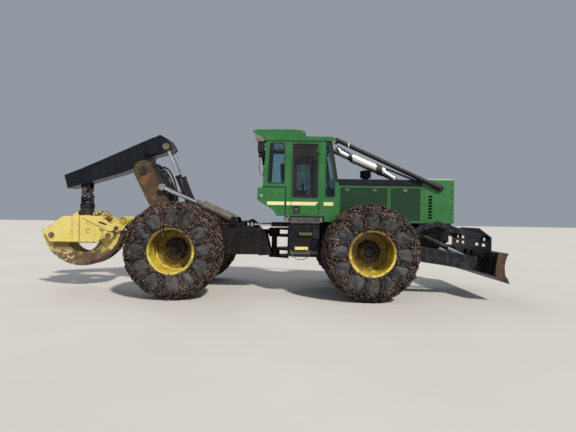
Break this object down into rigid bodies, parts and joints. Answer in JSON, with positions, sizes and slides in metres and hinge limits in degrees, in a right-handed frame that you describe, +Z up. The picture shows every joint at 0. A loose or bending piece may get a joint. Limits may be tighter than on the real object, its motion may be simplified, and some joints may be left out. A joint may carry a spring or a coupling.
{
  "type": "articulated grapple skidder",
  "caption": "Articulated grapple skidder: cab and hooded engine on the front frame, dozer blade, tilting arch, boom and rotating log grapple behind, chained forestry tyres.",
  "frame": {"origin": "middle of the whole machine's length and width, on the ground under its tyres", "axes": "+X forward to the blade, +Y to the driver's left, +Z up"},
  "size_m": [9.5002, 3.228, 3.363],
  "materials": {
    "black_paint": "dusty black paint",
    "engine_iron": "dark cast iron",
    "green_paint": "satin green paint, sun faded",
    "core_black": "matt black core",
    "window_glass": "tinted glass",
    "seat_base": "black seat frame",
    "seat_fabric": "black woven seat cloth",
    "console_plastic": "black moulded console",
    "silencer_steel": "bright heat shield and pipe",
    "worn_steel": "worn and rusted blade steel",
    "cylinder_paint": "black paint",
    "rod_chrome": "polished rod",
    "rusty_arch": "paint worn through to rust",
    "boom_black": "gloss black paint",
    "grapple_yellow": "scratched yellow paint",
    "rotator_black": "oily black paint",
    "rim_yellow": "yellow rim paint with mud",
    "tyre_rubber": "dusty black rubber under a rusted chain net"
  },
  "bodies": {
    "front_frame": {"front_chassis": "black_paint", "front_axle": "black_paint", "engine": "engine_iron", "hood_panels": "green_paint", "hood_cover": "black_paint", "radiator_housing": "green_paint", "grille": "core_black", "cab": "green_paint", "cab_roof": "green_paint", "cab_lamps": "black_paint", "cab_glass": "window_glass", "seat": "seat_base", "seat_cushions": "seat_fabric", "console": "console_plastic", "brush_guard": "black_paint", "exhaust": "silencer_steel", "side_steps": "black_paint"},
    "rear_frame": {"rear_chassis": "black_paint", "rear_axle": "black_paint"},
    "wheel_front_right": {"rim_front_right": "rim_yellow", "tyre_front_right": "tyre_rubber"},
    "wheel_front_left": {"rim_front_left": "rim_yellow", "tyre_front_left": "tyre_rubber"},
    "wheel_rear_right": {"rim_rear_right": "rim_yellow", "tyre_rear_right": "tyre_rubber"},
    "wheel_rear_left": {"rim_rear_left": "rim_yellow", "tyre_rear_left": "tyre_rubber"},
    "door_right": {"door_right": "green_paint", "door_glass_right": "window_glass", "door_guard_right": "black_paint"},
    "door_left": {"door_left": "green_paint", "door_glass_left": "window_glass", "door_guard_left": "black_paint"},
    "blade": {"blade": "worn_steel", "blade_arms": "black_paint"},
    "blade_barrels": {"blade_barrels": "cylinder_paint"},
    "blade_rods": {"blade_rods": "rod_chrome"},
    "arch": {"arch": "rusty_arch"},
    "arch_barrels": {"arch_barrels": "cylinder_paint"},
    "arch_rods": {"arch_rods": "rod_chrome"},
    "boom": {"boom": "boom_black"},
    "boom_barrels": {"boom_barrels": "cylinder_paint"},
    "boom_rods": {"boom_rods": "rod_chrome"},
    "steer_barrel_right": {"steer_barrel_right": "cylinder_paint"},
    "steer_rod_right": {"steer_rod_right": "rod_chrome"},
    "steer_barrel_left": {"steer_barrel_left": "cylinder_paint"},
    "steer_rod_left": {"steer_rod_left": "rod_chrome"},
    "swing_link": {"swing_link": "grapple_yellow"},
    "rotator": {"rotator": "rotator_black"},
    "grapple": {"grapple_frame": "grapple_yellow"},
    "tong_rear": {"tong_rear": "grapple_yellow"},
    "tong_front": {"tong_front": "grapple_yellow"}
  },
  "joints": [
    {"name": "articulation", "type": "hinge", "parent": "front_frame", "child": "rear_frame", "pos_m": [0.25509, 0, 1], "axis": [0, 0, 1], "range_deg": [-45, 45]},
    {"name": "wheel_front_right_spin", "type": "hinge", "parent": "front_frame", "child": "wheel_front_right", "pos_m": [2.12509, -1.22, 0.925], "axis": [0, 1, 0], "continuous": true},
    {"name": "wheel_front_left_spin", "type": "hinge", "parent": "front_frame", "child": "wheel_front_left", "pos_m": [2.12509, 1.22, 0.925], "axis": [0, 1, 0], "continuous": true},
    {"name": "wheel_rear_right_spin", "type": "hinge", "parent": "rear_frame", "child": "wheel_rear_right", "pos_m": [-1.61491, -1.22, 0.925], "axis": [0, 1, 0], "continuous": true},
    {"name": "wheel_rear_left_spin", "type": "hinge", "parent": "rear_frame", "child": "wheel_rear_left", "pos_m": [-1.61491, 1.22, 0.925], "axis": [0, 1, 0], "continuous": true},
    {"name": "door_right_hinge", "type": "hinge", "parent": "front_frame", "child": "door_right", "pos_m": [1.17309, -0.795, 2.4], "axis": [0, 0, 1], "range_deg": [0, 85]},
    {"name": "door_left_hinge", "type": "hinge", "parent": "front_frame", "child": "door_left", "pos_m": [1.17309, 0.795, 2.4], "axis": [0, 0, -1], "range_deg": [0, 85]},
    {"name": "blade_lift", "type": "hinge", "parent": "front_frame", "child": "blade", "pos_m": [2.73509, 0, 0.905], "axis": [0, -1, 0], "range_deg": [-11, 15]},
    {"name": "blade_barrel_turn", "type": "hinge", "parent": "front_frame", "child": "blade_barrels", "pos_m": [3.30509, 0, 1.25], "axis": [0, -1, 0], "range_deg": [-15.51, 20.89]},
    {"name": "blade_rod_stroke", "type": "slide", "parent": "blade_barrels", "child": "blade_rods", "axis": [0.9107, 0, -0.4132], "range_m": [-0.14107, 0.10471]},
    {"name": "arch_tilt", "type": "hinge", "parent": "rear_frame", "child": "arch", "pos_m": [-1.89491, 0, 1.25], "axis": [0, 1, 0], "range_deg": [-6, 35]},
    {"name": "arch_barrel_turn", "type": "hinge", "parent": "rear_frame", "child": "arch_barrels", "pos_m": [-0.59391, 0, 1.499], "axis": [0, 1, 0], "range_deg": [-2, 10.49]},
    {"name": "arch_rod_stroke", "type": "slide", "parent": "arch_barrels", "child": "arch_rods", "axis": [-0.9138, 0, 0.4061], "range_m": [-0.52276, 0.09953]},
    {"name": "boom_lift", "type": "hinge", "parent": "arch", "child": "boom", "pos_m": [-2.54491, 0, 2.53], "axis": [0, 1, 0], "range_deg": [-12, 35]},
    {"name": "boom_barrel_turn", "type": "hinge", "parent": "arch", "child": "boom_barrels", "pos_m": [-1.44491, 0, 1.5], "axis": [0, 1, 0], "range_deg": [-1.45, 4.02]},
    {"name": "boom_rod_stroke", "type": "slide", "parent": "boom_barrels", "child": "boom_rods", "axis": [-0.3806, 0, 0.9247], "range_m": [-0.41078, 0.1479]},
    {"name": "steer_barrel_right_turn", "type": "hinge", "parent": "front_frame", "child": "steer_barrel_right", "pos_m": [0.85509, -0.33, 1.415], "axis": [0, 0, 1], "range_deg": [-20.47, 20.47]},
    {"name": "steer_rod_right_stroke", "type": "slide", "parent": "steer_barrel_right", "child": "steer_rod_right", "axis": [-1, 0, 0], "range_m": [-0.26238, 0.26238]},
    {"name": "steer_barrel_left_turn", "type": "hinge", "parent": "front_frame", "child": "steer_barrel_left", "pos_m": [0.85509, 0.33, 1.415], "axis": [0, 0, 1], "range_deg": [-20.47, 20.47]},
    {"name": "steer_rod_left_stroke", "type": "slide", "parent": "steer_barrel_left", "child": "steer_rod_left", "axis": [-1, 0, 0], "range_m": [-0.26238, 0.26238]},
    {"name": "link_pitch", "type": "hinge", "parent": "boom", "child": "swing_link", "pos_m": [-3.87491, 0, 2.11], "axis": [0, -1, 0], "range_deg": [-35, 35]},
    {"name": "link_roll", "type": "hinge", "parent": "swing_link", "child": "rotator", "pos_m": [-3.87491, 0, 1.93], "axis": [1, 0, 0], "range_deg": [-20, 20]},
    {"name": "grapple_spin", "type": "hinge", "parent": "rotator", "child": "grapple", "pos_m": [-3.87491, 0, 1.713], "axis": [0, 0, 1], "continuous": true},
    {"name": "tong_open", "type": "hinge", "parent": "grapple", "child": "tong_rear", "pos_m": [-4.47491, 0, 1.13], "axis": [0, 1, 0], "range_deg": [0, 60]},
    {"name": "tong_front_open", "type": "hinge", "parent": "grapple", "child": "tong_front", "pos_m": [-3.27491, 0, 1.13], "axis": [0, -1, 0], "range_deg": [0, 60]}
  ],
  "couplings": [
    {"joint": "blade_barrel_turn", "follows": "blade_lift", "ratio": 1.3461},
    {"joint": "blade_rod_stroke", "follows": "blade_lift", "m_per_rad": -0.52081},
    {"joint": "arch_barrel_turn", "follows": "arch_tilt", "ratio": 0.29298},
    {"joint": "arch_rod_stroke", "follows": "arch_tilt", "m_per_rad": -0.83618},
    {"joint": "boom_barrel_turn", "follows": "boom_lift", "ratio": 0.11186},
    {"joint": "boom_rod_stroke", "follows": "boom_lift", "m_per_rad": -0.65488},
    {"joint": "steer_barrel_right_turn", "follows": "articulation", "ratio": 0.43745},
    {"joint": "steer_rod_right_stroke", "follows": "articulation", "m_per_rad": -0.32122},
    {"joint": "steer_barrel_left_turn", "follows": "articulation", "ratio": 0.43745},
    {"joint": "steer_rod_left_stroke", "follows": "articulation", "m_per_rad": 0.32122},
    {"joint": "tong_front_open", "follows": "tong_open", "ratio": 1}
  ]
}
